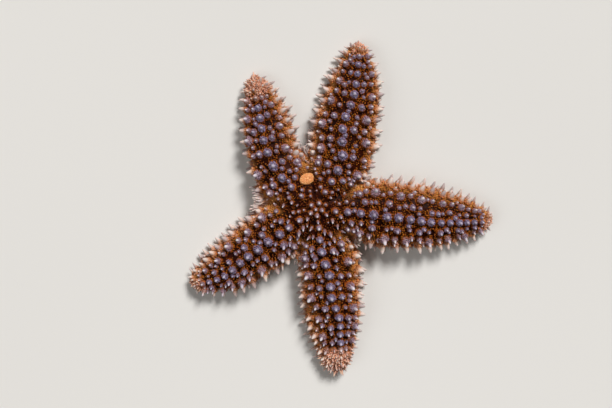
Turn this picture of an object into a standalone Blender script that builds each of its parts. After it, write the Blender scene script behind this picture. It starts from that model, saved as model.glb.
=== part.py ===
"""A small five-armed starfish at life size, resting on its mouth side. Metres, +Z up.

Seen from above, the longest arms point along +X and -Y, and the madreporite, the pale sieve plate, lies
on the +Y side of the disc. The origin is under the middle of the whole body, on the level it rests on.

Every arm is one section swept along a bent centreline. The section's path runs from the ridge of the back,
over the margin and the flat sole, into the groove of the tube feet, and it shrinks towards the arm's tip.
Inside the disc the two halves of each section open like a fan, from the centreline out to the notch
between two arms, so the same formula closes the middle of the body. The paths and the rows across them
leave one cell for each plate of the skeleton, and most plates carry one spine."""

import math

import bmesh
import bpy
import numpy as np
from mathutils import Vector

MM = 0.001

# The arms, anticlockwise. Headings of the centreline in degrees at the disc, along the arm and at its tip,
# where its bend ends, its length from the mouth to the tip of the flesh, its half width, and how far the
# ridge of the back has swayed to the arm's left at each of the sway stations.
ARMS = {
    "arm_right": ((-8.3, -4.3, -2.8), 18.0 * MM, 37.2 * MM, 6.6 * MM, (0.4 * MM, 0.1 * MM, -0.6 * MM)),
    "arm_top": ((64.0, 81.0, 83.0), 17.0 * MM, 34.8 * MM, 6.2 * MM, (-0.6 * MM, 0.9 * MM, -0.6 * MM)),
    "arm_top_left": ((134.0, 101.0, 109.0), 14.5 * MM, 30.2 * MM, 4.7 * MM, (0.5 * MM, 1.4 * MM, 1.0 * MM)),
    "arm_bottom_left": ((218.0, 216.0, 202.0), 15.0 * MM, 31.6 * MM, 5.6 * MM, (-0.4 * MM, -0.3 * MM, 1.3 * MM)),
    "arm_bottom": ((285.0, 268.7, 278.0), 17.0 * MM, 37.4 * MM, 5.85 * MM, (-1.2 * MM, -0.1 * MM, 2.1 * MM)),
}
MOUTH_X, MOUTH_Y = -5.0 * MM, 1.6 * MM  # the mouth's axis, from the middle of the whole body's box
STRAIGHT = 8.8 * MM  # the arms leave the disc straight this far, past every notch, then bend
SWAY_STATIONS = (10.0 * MM, 18.0 * MM, 26.0 * MM)

# Body without its spines
DISC_RADIUS = 10.5 * MM  # where each arm is parted from the disc
NOTCH_RADIUS = 10.1 * MM  # the bottom of the notch between two arms
WEB_LENGTH = 6.0 * MM  # past the notch, an arm takes its own width within this length
ARM_HEIGHT, DISC_HEIGHT = 6.6 * MM, 8.0 * MM
MEAN_WIDTH = 5.8 * MM  # an arm this wide has just the height above
RIM_HEIGHT = 2.4 * MM  # the margin, where the body is widest
TIP_LIFT = 1.3 * MM  # the arm's nose is off the ground by this
SOLE_OUTER, SOLE_INNER = 0.72, 0.30  # the flat sole, as shares of the half width
GROOVE_DEPTH = 1.9 * MM
PARTING = 0.3 * MM  # the thin cut between two sub-parts

# Rows of plates. The path round one side of a section counts 0 on the ridge of the back, 1 at the margin,
# 2 at the outer edge of the sole, 3 at its inner edge and 4 at the bottom of the groove.
ROW_EDGES = (0.10, 0.333, 0.62, 0.93, 2.0, 3.0)
RIDGE, BACK, SHOULDER, MARGIN, FRINGE, SOLE, GROOVE = range(7)
ROW_MIDDLES = (0.0, 0.215, 0.475, 0.775, 1.42)
PLATE_LENGTH = 2.1 * MM  # mean length of a plate along an arm
CROWDING = 0.35  # plates shorten towards the tip: 0 would keep them all alike
DISC_COLUMNS = 4

# Spines: half the width of the base, and the height
SPINE_SIZES = {
    RIDGE: (0.90 * MM, 1.45 * MM),
    BACK: (0.66 * MM, 1.15 * MM),
    SHOULDER: (0.86 * MM, 1.40 * MM),
    MARGIN: (0.74 * MM, 1.80 * MM),
    FRINGE: (0.60 * MM, 2.20 * MM),
}
MINOR_SPINE = 0.66  # every other spine of two rows is this much of its neighbours
BLUNT = 0.50  # the flat top of a knob, as a share of its base
SPINE_SCATTER = 0.16  # how far a spine strays from the middle of its plate, as a share of the plate
TUBE_FOOT_REACH = 0.25 * MM  # height of a tube foot's sucker over the ground

# The madreporite in its socket, and the five eyespots under the arms' tips
MADREPORITE_BEARING, MADREPORITE_DISTANCE = math.radians(106.0), 6.5 * MM
MADREPORITE_LONG, MADREPORITE_WIDE, MADREPORITE_RISE = 1.65 * MM, 1.15 * MM, 0.8 * MM
MADREPORITE_ROOM = 2.4 * MM  # no spine stands nearer to its centre
SOCKET_DEPTH = 0.5 * MM
OVAL_SIDES = 14
EYESPOT_RADIUS = 0.34 * MM


def smooth_step(x):
    x = np.clip(x, 0.0, 1.0)
    return x * x * (3.0 - 2.0 * x)


def chance(*keys):
    """A repeatable number from -1 to 1 for these whole numbers, as scattered as a throw of dice."""
    mixed = sum(k * w for k, w in zip(keys, (12.9898, 78.233, 37.719, 9.151)))
    return 2.0 * ((math.sin(mixed) * 43758.5453) % 1.0) - 1.0


class Arm:
    """One arm: its centreline from the mouth's axis, and its width and heights at each distance s along it.
    side is 1 on the arm's left and -1 on its right."""

    def __init__(self, number, name, form, gaps):
        self.number, self.name = number, name
        headings, bend_end, self.length, self.width, self.sways = form
        self.base = math.radians(headings[0])
        self.notch = {side: NOTCH_RADIUS * math.cos(gaps[side] / 2.0) for side in gaps}
        self.notch_width = {side: NOTCH_RADIUS * math.sin(gaps[side] / 2.0) for side in gaps}
        at_disc, along, at_tip = headings
        self.steps = np.linspace(0.0, self.length, 400)
        turned = (along - at_disc) * smooth_step((self.steps - STRAIGHT) / (bend_end - STRAIGHT))
        turned += (at_tip - along) * smooth_step((self.steps - bend_end) / (self.length - bend_end))
        self.headings = np.radians(at_disc + turned)
        step = np.diff(self.steps)
        middle = (self.headings[1:] + self.headings[:-1]) / 2
        self.x = np.concatenate([[0.0], np.cumsum(np.cos(middle) * step)])
        self.y = np.concatenate([[0.0], np.cumsum(np.sin(middle) * step)])

    def centre(self, s):
        return Vector((np.interp(s, self.steps, self.x), np.interp(s, self.steps, self.y), 0.0))

    def along(self, s):
        heading = np.interp(s, self.steps, self.headings)
        return Vector((math.cos(heading), math.sin(heading), 0.0))

    def left(self, s):
        ahead = self.along(s)
        return Vector((-ahead.y, ahead.x, 0.0))

    def share(self, s):
        """0 where the arm leaves the disc, 1 at its tip."""
        return np.clip((s - DISC_RADIUS) / (self.length - DISC_RADIUS), 0.0, 1.0)

    def taper(self, s):
        return (1.0 - self.share(s) ** 2.25) ** 0.62

    def half_width(self, s, side):
        web = 1.0 - smooth_step((s - self.notch[side]) / WEB_LENGTH)
        return self.width * self.taper(s) + (self.notch_width[side] - self.width) * web

    def ridge(self, s):
        arm_part = ARM_HEIGHT * (0.5 + 0.5 * self.width / MEAN_WIDTH)
        blend = smooth_step(s / (1.4 * DISC_RADIUS))
        dome = (DISC_HEIGHT - ARM_HEIGHT) * np.exp(-((s / (8.0 * MM)) ** 2))
        return (ARM_HEIGHT + (arm_part - ARM_HEIGHT) * blend + dome) * self.taper(s)

    def lift(self, s):
        return TIP_LIFT * smooth_step((self.share(s) - 0.76) / 0.24)

    def ridge_sway(self, s):
        sway, reached, before = 0.0, 0.0, 0.0
        for station, there in zip(SWAY_STATIONS, self.sways):
            sway += (there - reached) * smooth_step((s - before) / (station - before))
            reached, before = there, station
        return sway * self.taper(s) ** 0.4


def section_path(turn, depth, ridge, rim, fan):
    """(share of the half width, height) at a turn of 0 to 4 round one side of a section. The back is a
    quarter of a squarish ellipse, the flank and the groove are quarters of plain ones. fan is 0 at the
    notch, where the shoulders are lower, and 1 on a free arm."""
    if turn <= 1.0:
        angle = turn * math.pi / 2.0
        power = 2.0 / (1.75 + 0.55 * fan)
        return math.sin(angle) ** power, rim + (ridge - rim) * max(math.cos(angle), 0.0) ** power
    if turn <= 2.0:
        angle = (turn - 1.0) * math.pi / 2.0
        return SOLE_OUTER + (1.0 - SOLE_OUTER) * math.cos(angle), rim * (1.0 - math.sin(angle))
    if turn <= 3.0:
        return SOLE_OUTER + (SOLE_INNER - SOLE_OUTER) * (turn - 2.0), 0.0
    angle = (turn - 3.0) * math.pi / 2.0
    return SOLE_INNER * math.cos(angle), depth * math.sin(angle)


def skin_point(arm, side, s, turn):
    """The point of the body's surface at station s and that turn, on one side of the arm. In the disc the
    rim's station runs ahead of the ridge's, from the notch, so that the section is a fan."""
    fan = min(s / DISC_RADIUS, 1.0)
    outer = s if s >= DISC_RADIUS else arm.notch[side] + (DISC_RADIUS - arm.notch[side]) * fan
    ridge, rim = arm.ridge(s), RIM_HEIGHT * arm.taper(outer)
    across, height = section_path(turn, GROOVE_DEPTH * arm.taper(outer), ridge, rim, fan)
    edge = arm.centre(outer) + arm.left(outer) * (side * arm.half_width(outer, side))
    place = arm.centre(s).lerp(edge, across)
    if turn < 1.0:
        place += arm.left(s) * (arm.ridge_sway(s) * (height - rim) / (ridge - rim))
    place.z = height + arm.lift(s)
    return place


def row_of(index):
    """(row, side) of the cell between this vertex and the next one round a ring. A ring goes down the left
    side from the ridge, through the bottom of the groove and up the right side."""
    sides = len(ROW_EDGES)
    if index == 2 * sides:
        return RIDGE, 1
    return (index + 1, 1) if index < sides else (2 * sides - index, -1)


def arm_stations(arm):
    """Stations of the rings of an arm, from its parting from the disc. The plates shorten outwards."""
    start = DISC_RADIUS + PARTING
    plates = round((arm.length - start) / PLATE_LENGTH)
    shares = np.append(np.arange(plates) / plates, 1.0 - 0.3 / plates)
    return [start + (arm.length - start) * u * (1.0 + CROWDING - CROWDING * u) for u in shares]


def disc_stations():
    return [DISC_RADIUS * j / DISC_COLUMNS for j in range(DISC_COLUMNS + 1)]


def free_room(place, own, arms):
    """How far this point is from the flesh of the nearest other arm."""
    rooms = []
    for arm in arms:
        if arm is own:
            continue
        away = np.hypot(arm.x - place.x, arm.y - place.y)
        nearest = int(away.argmin())
        at = arm.steps[nearest]
        rooms.append(away[nearest] - max(arm.half_width(at, 1), arm.half_width(at, -1)))
    return min(rooms)


def spine_size(arm, row, side, number, s):
    """(half width, height) of the spine on this plate. Spines are smaller on the disc and near the tips."""
    radius, height = SPINE_SIZES[row]
    if is_minor(row, side, number):
        radius, height = radius * MINOR_SPINE, height * MINOR_SPINE
    place = (0.54 + 0.46 * smooth_step(s / DISC_RADIUS)) * (0.35 + 0.65 * arm.taper(s))
    vary = 1.0 + 0.10 * chance(arm.number, row * side, number, 5)
    return radius * place * vary, height * (0.4 + 0.6 * place) * vary


def is_minor(row, side, number):
    return row in (BACK, SHOULDER) and (number + row + (side < 0)) % 2 == 1


def has_spine(row, number, s, place):
    """Whether the plate carries a spine. Plates crowd in the notches and are bare round the sieve plate."""
    if row > FRINGE:
        return False
    bearing = Vector((math.cos(MADREPORITE_BEARING), math.sin(MADREPORITE_BEARING)))
    if (place.xy - bearing * MADREPORITE_DISTANCE).length < MADREPORITE_ROOM:
        return False
    if s < DISC_RADIUS and row >= MARGIN:
        return number == DISC_COLUMNS - 1
    return not (s < DISC_RADIUS and row == SHOULDER and number == 0)


def spine_place(arm, row, side, number, s, length, arms):
    """(root, tip) of the spine on the plate whose middle is at station s."""
    scatter = SPINE_SCATTER * (0.3 if row == RIDGE else 1.0)
    station = s + scatter * length * chance(arm.number, row * side, number, 1)
    turn = abs(ROW_MIDDLES[row] + 0.2 * scatter * chance(arm.number, row * side, number, 2))
    root = skin_point(arm, side, station, turn)
    along = skin_point(arm, side, station + 0.1 * MM, turn) - root
    around = skin_point(arm, side, station, turn + 0.02) - root
    normal = along.cross(around).normalized() * side
    ahead, out = arm.along(station), arm.left(station) * side
    if row == FRINGE:
        lean = (out + 0.25 * ahead + Vector((0.0, 0.0, 0.16))).normalized()
    else:
        lean = (normal + 0.14 * ahead).normalized()
    height = spine_size(arm, row, side, number, s)[1]
    reach = lean * height
    room = max(0.45 * free_room(root, arm, arms) - 0.1 * MM, 0.0)
    level = math.hypot(reach.x, reach.y)
    if row >= SHOULDER and level > room:
        reach.x *= room / level
        reach.y *= room / level
        reach.z = max(reach.z, 0.75 * math.sqrt(height**2 - room**2))
    return root, root + reach


def raise_spine(mesh, face, radius, root, tip, top):
    """Insets one cell to the spine's square base, moves that to the root and draws its middle out to the
    tip: to a point, or to a flat top of that share of the base."""
    side = min(edge.calc_length() for edge in face.edges)
    slack = max(0.5 * side - radius, 0.04 * side)
    middle, normal = face.calc_center_median(), face.normal.copy()
    bmesh.ops.inset_individual(mesh, faces=[face], thickness=slack, use_even_offset=True)
    shift = root - middle
    shift -= normal * shift.dot(normal)
    if shift.length > 0.6 * slack:
        shift *= 0.6 * slack / shift.length
    for corner in face.verts:
        corner.co += shift
    face.material_index = 1
    if not top:
        bmesh.ops.poke(mesh, faces=[face])["verts"][0].co = tip
        return
    middle += shift
    raised = bmesh.ops.extrude_discrete_faces(mesh, faces=[face])["faces"][0]
    for corner in raised.verts:
        corner.co = tip + (corner.co - middle) * top


def raise_tube_foot(mesh, face):
    """Draws the middle of a groove cell down to just over the ground, as a blunt tube foot."""
    middle = face.calc_center_median()
    low = Vector((middle.x, middle.y, TUBE_FOOT_REACH + 0.3 * middle.z))
    bmesh.ops.poke(mesh, faces=[face])["verts"][0].co = low


def new_vertices(mesh, arm, side, s, turns):
    return [mesh.verts.new(skin_point(arm, side, s, turn)) for turn in turns]


def skin_cells(mesh, arm, stations, first=None):
    """Adds one arm's rings of vertices and the quads between them. Returns the rings and, for each quad,
    (face, row, side, number of its plate along the arm). The disc hands in the first ring, as its
    vertices are shared with both neighbours."""
    rings = [first] if first else []
    for s in stations[len(rings) :]:
        left = new_vertices(mesh, arm, 1, s, (*ROW_EDGES, 4.0))
        right = new_vertices(mesh, arm, -1, s, reversed(ROW_EDGES))
        rings.append(left + right)
    cells = []
    for number, (inner, outer) in enumerate(zip(rings, rings[1:])):
        for i in range(len(inner)):
            j = (i + 1) % len(inner)
            face = mesh.faces.new((inner[i], outer[i], outer[j], inner[j]))
            cells.append((face, *row_of(i), number))
    return rings, cells


def dress_cells(mesh, arm, stations, cells, arms):
    """Raises the spines and the tube feet from one arm's cells."""
    for face, row, side, number in cells:
        if row == GROOVE:
            if stations[number] > 0.0:
                raise_tube_foot(mesh, face)
            continue
        length = stations[number + 1] - stations[number]
        s = stations[number] + 0.5 * length
        if not has_spine(row, number, s, face.calc_center_median()):
            continue
        radius = spine_size(arm, row, side, number, s)[0]
        root, tip = spine_place(arm, row, side, number, s, length, arms)
        blunt = row <= SHOULDER and s > DISC_RADIUS and not is_minor(row, side, number)
        raise_spine(mesh, face, radius, root, tip, BLUNT if blunt else 0.0)


def material(name, colour, roughness):
    made = bpy.data.materials.new(name)
    made.use_nodes = True
    shader = made.node_tree.nodes["Principled BSDF"]
    shader.inputs["Base Color"].default_value = (*colour, 1.0)
    shader.inputs["Roughness"].default_value = roughness
    return made


def add_solid(name, mesh, materials):
    """Turns a bmesh, built round the mouth's axis, into a named object in the body's frame."""
    bmesh.ops.recalc_face_normals(mesh, faces=mesh.faces)
    data = bpy.data.meshes.new(name)
    mesh.to_mesh(data)
    mesh.free()
    for each in materials:
        data.materials.append(each)
    solid = bpy.data.objects.new(name, data)
    solid.location = (MOUTH_X, MOUTH_Y, 0.0)
    bpy.context.scene.collection.objects.link(solid)
    return solid


def build_disc(arms, materials):
    """The central disc: the fans of all five arms, joined along the notches, with a flat cut to each arm."""
    mesh = bmesh.new()
    stations = disc_stations()
    notches = [new_vertices(mesh, arm, 1, 0.0, ROW_EDGES) for arm in arms]
    under = mesh.verts.new(skin_point(arms[0], 1, 0.0, 4.0))
    hub = mesh.faces.new([notch[0] for notch in notches])
    cells_of = []
    for arm in arms:
        first = notches[arm.number] + [under] + notches[arm.number - 1][::-1]
        rings, cells = skin_cells(mesh, arm, stations, first)
        mesh.faces.new(reversed(rings[-1]))
        cells_of.append(cells)
    bmesh.ops.recalc_face_normals(mesh, faces=mesh.faces)
    root = Vector((0.0, 0.0, DISC_HEIGHT))
    tip = Vector((0.0, 0.0, DISC_HEIGHT + 0.6 * SPINE_SIZES[RIDGE][1]))
    raise_spine(mesh, hub, 0.5 * SPINE_SIZES[RIDGE][0], root, tip, 0.0)
    for arm, cells in zip(arms, cells_of):
        dress_cells(mesh, arm, stations, cells, arms)
    return add_solid("disc", mesh, materials)


def build_arm(arm, arms, materials):
    """One arm: its rings, a flat end towards the disc and a rounded nose."""
    mesh = bmesh.new()
    stations = arm_stations(arm)
    rings, cells = skin_cells(mesh, arm, stations)
    mesh.faces.new(rings[0])
    nose = arm.centre(arm.length)
    nose.z = TIP_LIFT
    nose = mesh.verts.new(nose)
    last = rings[-1]
    for i, vertex in enumerate(last):
        mesh.faces.new((vertex, nose, last[(i + 1) % len(last)]))
    bmesh.ops.recalc_face_normals(mesh, faces=mesh.faces)
    dress_cells(mesh, arm, stations, cells, arms)
    return add_solid(arm.name, mesh, materials)


def disc_surface(place, arms):
    """(point, normal) of the disc's back at this place."""
    bearing = math.atan2(place.y, place.x)
    arm = min(arms, key=lambda each: abs(math.remainder(bearing - each.base, 2.0 * math.pi)))
    side = 1 if math.remainder(bearing - arm.base, 2.0 * math.pi) > 0 else -1
    grid = [(s, turn) for s in np.linspace(0.0, DISC_RADIUS, 60) for turn in np.linspace(0.0, 0.9, 60)]
    s, turn = min(grid, key=lambda at: (skin_point(arm, side, *at).xy - place.xy).length)
    point = skin_point(arm, side, s, turn)
    along = skin_point(arm, side, s + 0.2 * MM, turn) - point
    around = skin_point(arm, side, s, turn + 0.03) - point
    return point, along.cross(around).normalized() * side


def oval_stack(mesh, centre, long, wide, shares_and_rises, normal):
    """A closed stack of ovals: each is this share of the axes and stands this high over the centre."""
    rings = []
    for share, rise in shares_and_rises:
        ring = []
        for i in range(OVAL_SIDES):
            turn = 2.0 * math.pi * i / OVAL_SIDES
            flat = long * (share * math.cos(turn)) + wide * (share * math.sin(turn))
            ring.append(mesh.verts.new(centre + flat + normal * rise))
        rings.append(ring)
    mesh.faces.new(reversed(rings[0]))
    for inner, outer in zip(rings, rings[1:]):
        for i in range(OVAL_SIDES):
            j = (i + 1) % OVAL_SIDES
            mesh.faces.new((inner[i], inner[j], outer[j], outer[i]))
    mesh.faces.new(rings[-1])


def build_madreporite(arms, disc, materials):
    """A low oval dome in a shallow socket of the disc's slope, parted from it all round."""
    bearing = Vector((math.cos(MADREPORITE_BEARING), math.sin(MADREPORITE_BEARING), 0.0))
    surface, normal = disc_surface(bearing * MADREPORITE_DISTANCE, arms)
    wide = (bearing - normal * bearing.dot(normal)).normalized()
    long = normal.cross(wide)
    floor = surface - normal * SOCKET_DEPTH
    socket = bmesh.new()
    reach = long * (MADREPORITE_LONG + PARTING), wide * (MADREPORITE_WIDE + PARTING)
    oval_stack(socket, floor, *reach, ((1.0, 0.0), (1.0, 5.0 * MM)), normal)
    cutter = add_solid("socket", socket, ())
    cutter.hide_render = True
    cut = disc.modifiers.new("socket", "BOOLEAN")
    cut.operation = "DIFFERENCE"
    cut.solver = "EXACT"
    cut.object = cutter
    dome = bmesh.new()
    angles = [k * math.pi / 8.0 for k in range(4)]
    layers = [(math.cos(angle), PARTING + MADREPORITE_RISE * math.sin(angle)) for angle in angles]
    oval_stack(dome, floor, long * MADREPORITE_LONG, wide * MADREPORITE_WIDE, layers, normal)
    return add_solid("madreporite", dome, materials)


def build_eyespot(arm, materials):
    """A bead under the nose of the arm."""
    mesh = bmesh.new()
    bmesh.ops.create_icosphere(mesh, subdivisions=1, radius=EYESPOT_RADIUS)
    station = arm.length - 0.9 * MM
    place = arm.centre(station)
    place.z = arm.lift(station) - PARTING - EYESPOT_RADIUS
    bmesh.ops.translate(mesh, verts=mesh.verts, vec=place)
    return add_solid(arm.name.replace("arm", "eyespot"), mesh, materials)


def build():
    for old in list(bpy.data.objects):
        bpy.data.objects.remove(old)
    skin = material("skin", (0.20, 0.075, 0.045), 0.55)
    spine = material("spine", (0.42, 0.36, 0.48), 0.6)
    sieve = material("sieve_plate", (0.85, 0.42, 0.12), 0.7)
    red = material("eyespot", (0.50, 0.03, 0.02), 0.4)
    bases = [math.radians(form[0][0]) for form in ARMS.values()]
    arms = []
    for number, (name, form) in enumerate(ARMS.items()):
        to_left = (bases[(number + 1) % len(bases)] - bases[number]) % (2.0 * math.pi)
        to_right = (bases[number] - bases[number - 1]) % (2.0 * math.pi)
        arms.append(Arm(number, name, form, {1: to_left, -1: to_right}))
    disc = build_disc(arms, (skin, spine))
    for arm in arms:
        build_arm(arm, arms, (skin, spine))
        build_eyespot(arm, (red,))
    build_madreporite(arms, disc, (sieve,))


build()
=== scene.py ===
"""A small five-armed sea star at life size: the damp skin, its knobs, spines and tube feet, and a studio.

Metres, +Z up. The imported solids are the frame; everything that shows here grows from the same arms, the
same rows of plates and the same spines as they do. The origin is under the middle of the whole body."""

import math

import bpy
import numpy as np
from mathutils import Matrix, Vector, kdtree


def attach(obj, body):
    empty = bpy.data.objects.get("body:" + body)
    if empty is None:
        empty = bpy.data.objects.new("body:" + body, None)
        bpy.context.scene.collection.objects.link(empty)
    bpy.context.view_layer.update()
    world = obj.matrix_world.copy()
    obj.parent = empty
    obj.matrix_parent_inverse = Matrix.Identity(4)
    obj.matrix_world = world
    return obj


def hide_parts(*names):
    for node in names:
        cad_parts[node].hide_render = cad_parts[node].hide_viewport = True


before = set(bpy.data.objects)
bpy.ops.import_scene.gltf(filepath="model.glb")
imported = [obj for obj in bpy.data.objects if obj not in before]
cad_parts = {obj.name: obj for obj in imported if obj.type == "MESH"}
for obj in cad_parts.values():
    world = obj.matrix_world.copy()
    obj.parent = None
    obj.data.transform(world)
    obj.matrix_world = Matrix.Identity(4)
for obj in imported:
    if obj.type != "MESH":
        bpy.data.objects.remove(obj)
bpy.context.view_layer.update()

MM = 0.001

# The body, as the solids have it. For each arm, in degrees and millimetres: its headings at the disc, along
# it and at its tip; the end of its bend, its length and its half width; how far its ridge has swayed to the
# left at each of the sway stations; and how much of its tip is a fan of slender spines.
ARMS = {
    "arm_right": ((-8.3, -4.3, -2.8), 18.0, 37.2, 6.6, (0.4, 0.1, -0.6), 1.8),
    "arm_top": ((64.0, 81.0, 83.0), 17.0, 34.8, 6.2, (-0.6, 0.9, -0.6), 2.0),
    "arm_top_left": ((134.0, 101.0, 109.0), 14.5, 30.2, 4.7, (0.5, 1.4, 1.0), 4.2),
    "arm_bottom_left": ((218.0, 216.0, 202.0), 15.0, 31.6, 5.6, (-0.4, -0.3, 1.3), 2.2),
    "arm_bottom": ((285.0, 268.7, 278.0), 17.0, 37.4, 5.85, (-1.2, -0.1, 2.1), 5.4),
}
MOUTH = np.array([-5.0 * MM, 1.6 * MM, 0.0])  # under the mouth, on the ground
STRAIGHT = 8.8 * MM  # no arm bends nearer the mouth than this
SWAY_STATIONS = (10.0 * MM, 18.0 * MM, 26.0 * MM)
DISC_RADIUS, NOTCH_RADIUS, WEB_LENGTH = 10.5 * MM, 10.1 * MM, 6.0 * MM
ARM_HEIGHT, DISC_HEIGHT, MEAN_WIDTH = 6.6 * MM, 8.0 * MM, 5.8 * MM
RIM_HEIGHT, TIP_LIFT, GROOVE_DEPTH = 2.4 * MM, 1.3 * MM, 1.9 * MM
SOLE_OUTER, SOLE_INNER = 0.72, 0.30
PARTING = 0.3 * MM
PLATE_LENGTH, CROWDING, DISC_COLUMNS = 2.1 * MM, 0.35, 4
MINOR_SPINE, SPINE_SCATTER = 0.66, 0.16
SIEVE_BEARING = math.radians(106.0)
SIEVE_WAY = np.array([math.cos(SIEVE_BEARING), math.sin(SIEVE_BEARING), 0.0])
SIEVE = 6.5 * MM * SIEVE_WAY  # the sieve plate's place, from the mouth
SIEVE_LONG, SIEVE_WIDE, SIEVE_RISE = 1.65 * MM, 1.15 * MM, 0.8 * MM
SIEVE_ROOM, SOCKET_DEPTH = 2.2 * MM, 0.5 * MM
EYESPOT_RADIUS = 0.34 * MM

# The rows of spines from the ridge outwards. For each row: its place round the section, and the radius and
# height in millimetres of its largest spines in the solids; then how much wider and taller they are here,
# and how much of the droop they take.
RIDGE, BACK, SHOULDER, MARGIN, FRINGE = range(5)
ROW_MIDDLES = (0.0, 0.215, 0.475, 0.775, 1.42)
ROW_RADII = (0.90, 0.66, 0.86, 0.74, 0.60)
ROW_HEIGHTS = (1.45, 1.15, 1.40, 1.80, 2.20)
WIDER = (1.0, 1.0, 1.0, 1.14, 1.14)
TALLER = (1.0, 1.0, 1.22, 1.14, 1.14)
DROOPING = (0.0, 1.0, 1.0, 0.3, 0.0)
DROOP, LONGER = 0.42, 0.22  # spines that face the near side hang over by this much and are this much longer
LOWEST = 0.02 * MM  # no spine reaches lower than this over the ground

# The dressing
COAT = 0.32 * MM  # the skin lies this far inside the solids
SOLE_CLEARANCE = 0.85 * MM  # the bare sole is held this far off the ground by spines and tube feet
GRID = 0.30 * MM  # size of the skin's mesh
MOUTH_RADIUS, MOUTH_DEPTH = 0.9 * MM, 1.2 * MM
PATTERN_SCALE = 9.5  # how much of the flat pattern one metre of the back takes up, round an arm
SMALL_PATCH = 0.003  # the size on the pattern of a gill's or a slender spine's patch
LONG_FAN = 5.4 * MM
FULL_TURN, GOLDEN_ANGLE = 6.28, math.pi * (3.0 - math.sqrt(5.0))
SEED = 7

random = np.random.default_rng(SEED)


# ---- the body's shape


def smooth(x):
    """A smooth step from 0 at 0 to 1 at 1."""
    x = np.clip(x, 0.0, 1.0)
    return x * x * (3.0 - 2.0 * x)


def chance(*keys):
    """A repeatable number from -1 to 1 for these whole numbers: the fraction of a large sine."""
    mixed = sum(k * w for k, w in zip(keys, (12.9898, 78.233, 37.719, 9.151)))
    return 2.0 * ((np.sin(mixed) * 43758.5453) % 1.0) - 1.0


def unit(vectors):
    return vectors / np.maximum(np.linalg.norm(vectors, axis=-1, keepdims=True), 1e-12)


class Arm:
    """One arm: its centreline from the mouth's axis, and its width and heights at each distance s along it.
    side is 1 on the arm's left and -1 on its right. Everything takes arrays."""

    def __init__(self, number, name, gaps):
        (at_disc, along, at_tip), *sizes, sways, fan = ARMS[name]
        self.number, self.name, self.base = number, name, math.radians(at_disc)
        bend_end, self.length, self.width, self.fan = (size * MM for size in (*sizes, fan))
        self.sways = [sway * MM for sway in sways]
        self.notch = {side: NOTCH_RADIUS * math.cos(gap / 2.0) for side, gap in gaps.items()}
        self.notch_width = {side: NOTCH_RADIUS * math.sin(gap / 2.0) for side, gap in gaps.items()}
        self.steps = np.linspace(0.0, self.length, 400)
        turned = (along - at_disc) * smooth((self.steps - STRAIGHT) / (bend_end - STRAIGHT))
        turned += (at_tip - along) * smooth((self.steps - bend_end) / (self.length - bend_end))
        self.headings = np.radians(at_disc + turned)
        middle = (self.headings[1:] + self.headings[:-1]) / 2
        step = np.diff(self.steps)
        self.x, self.y = (np.append(0.0, np.cumsum(way(middle) * step)) for way in (np.cos, np.sin))

    def centre(self, s):
        x, y = np.interp(s, self.steps, self.x), np.interp(s, self.steps, self.y)
        return np.stack([x, y, np.zeros_like(x)], axis=-1)

    def along(self, s):
        heading = np.interp(s, self.steps, self.headings)
        return np.stack([np.cos(heading), np.sin(heading), np.zeros_like(heading)], axis=-1)

    def left(self, s):
        ahead = self.along(s)
        return np.stack([-ahead[..., 1], ahead[..., 0], ahead[..., 2]], axis=-1)

    def share(self, s):
        return np.clip((s - DISC_RADIUS) / (self.length - DISC_RADIUS), 0.0, 1.0)

    def taper(self, s):
        return (1.0 - self.share(s) ** 2.25) ** 0.62

    def half_width(self, s, side):
        web = 1.0 - smooth((s - self.notch[side]) / WEB_LENGTH)
        return self.width * self.taper(s) + (self.notch_width[side] - self.width) * web

    def ridge(self, s):
        arm_part = ARM_HEIGHT * (0.5 + 0.5 * self.width / MEAN_WIDTH)
        blend = smooth(s / (1.4 * DISC_RADIUS))
        dome = (DISC_HEIGHT - ARM_HEIGHT) * np.exp(-((s / (8.0 * MM)) ** 2))
        return (ARM_HEIGHT + (arm_part - ARM_HEIGHT) * blend + dome) * self.taper(s)

    def lift(self, s):
        return TIP_LIFT * smooth((self.share(s) - 0.76) / 0.24)

    def ridge_sway(self, s):
        sway, reached, before = 0.0, 0.0, 0.0
        for station, there in zip(SWAY_STATIONS, self.sways):
            sway += (there - reached) * smooth((s - before) / (station - before))
            reached, before = there, station
        return sway * self.taper(s) ** 0.4

    def fan_share(self, s):
        """How far into the fan at the arm's tip: 0 before it, 1 in it."""
        return smooth((s - (self.length - self.fan)) / (1.2 * MM) + 0.5)

    def nose(self, s):
        """How far out in the fan, up to 1 at the tip of the longest fan and much less in a short one."""
        return np.clip((s - self.length) / self.fan + 1.0, 0.0, 1.0) * (self.fan / LONG_FAN) ** 3


def section_path(turn, depth, ridge, rim, fan):
    """(share of the half width, height) round one side of a section. Turn 0 to 1 is the back, a quarter of a
    squarish ellipse from the ridge to the margin; 1 to 2 the flank, a quarter of a plain ellipse; 2 to 3 the
    flat sole; 3 to 4 the groove's wall, a quarter of an ellipse again."""
    back, flank, sole, wall = (np.clip(turn - start, 0.0, 1.0) for start in range(4))
    back, flank, wall = back * math.pi / 2.0, flank * math.pi / 2.0, wall * math.pi / 2.0
    power = 2.0 / (1.75 + 0.55 * fan)
    parts = [turn <= 1.0, turn <= 2.0, turn <= 3.0]
    across = [
        np.sin(back) ** power,
        SOLE_OUTER + (1.0 - SOLE_OUTER) * np.cos(flank),
        SOLE_OUTER + (SOLE_INNER - SOLE_OUTER) * sole,
    ]
    height = [
        rim + (ridge - rim) * np.maximum(np.cos(back), 0.0) ** power,
        rim * (1.0 - np.sin(flank)),
        np.zeros_like(turn),
    ]
    return (
        np.select(parts, across, SOLE_INNER * np.cos(wall)),
        np.select(parts, height, depth * np.sin(wall)),
    )


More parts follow.
